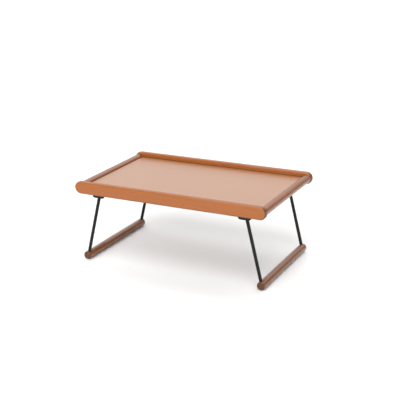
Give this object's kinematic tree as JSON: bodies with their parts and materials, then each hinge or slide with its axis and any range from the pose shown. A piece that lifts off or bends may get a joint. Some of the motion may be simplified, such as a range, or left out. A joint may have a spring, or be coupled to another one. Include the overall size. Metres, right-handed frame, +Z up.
{
  "type": "folding tray table",
  "caption": "Low wooden tray table: framed rectangular tray on folding leg frames of black steel rods with round wooden foot bars.",
  "frame": {"origin": "on the floor under the middle of the tray, with the legs unfolded", "axes": "+X along the tray to its right end, +Y to the rear, +Z up"},
  "size_m": [0.5998, 0.376, 0.2475],
  "materials": {
    "panel_wood": "satin lacquer",
    "bar_wood": "satin lacquer over reddish-brown stain",
    "black_steel": "satin black coat",
    "zinc_steel": "zinc plated",
    "nylon": "moulded nylon"
  },
  "bodies": {
    "tray": {"tray_panel": "panel_wood", "front_rail": "bar_wood", "rear_rail": "bar_wood", "left_side_bar": "bar_wood", "right_side_bar": "bar_wood", "front_left_pivot_plate": "black_steel", "front_left_plate_screws": "zinc_steel", "front_left_pivot_bolt": "black_steel", "front_left_friction_washer": "nylon", "front_left_spring_washer": "zinc_steel", "front_left_lock_nut": "zinc_steel", "front_right_pivot_plate": "black_steel", "front_right_plate_screws": "zinc_steel", "front_right_pivot_bolt": "black_steel", "front_right_friction_washer": "nylon", "front_right_spring_washer": "zinc_steel", "front_right_lock_nut": "zinc_steel", "rear_left_pivot_plate": "black_steel", "rear_left_plate_screws": "zinc_steel", "rear_left_pivot_bolt": "black_steel", "rear_left_friction_washer": "nylon", "rear_left_spring_washer": "zinc_steel", "rear_left_lock_nut": "zinc_steel", "rear_right_pivot_plate": "black_steel", "rear_right_plate_screws": "zinc_steel", "rear_right_pivot_bolt": "black_steel", "rear_right_friction_washer": "nylon", "rear_right_spring_washer": "zinc_steel", "rear_right_lock_nut": "zinc_steel"},
    "left_leg": {"left_foot_bar": "bar_wood", "front_left_leg_rod": "black_steel", "front_left_foot_screw": "zinc_steel", "rear_left_leg_rod": "black_steel", "rear_left_foot_screw": "zinc_steel"},
    "right_leg": {"right_foot_bar": "bar_wood", "front_right_leg_rod": "black_steel", "front_right_foot_screw": "zinc_steel", "rear_right_leg_rod": "black_steel", "rear_right_foot_screw": "zinc_steel"}
  },
  "joints": [
    {"name": "left_leg_fold", "type": "hinge", "parent": "tray", "child": "left_leg", "pos_m": [-0.231, 0, 0.212], "axis": [0, -1, 0], "range_deg": [0, 103.77]},
    {"name": "right_leg_fold", "type": "hinge", "parent": "tray", "child": "right_leg", "pos_m": [0.231, 0, 0.212], "axis": [0, 1, 0], "range_deg": [0, 103.77]}
  ]
}
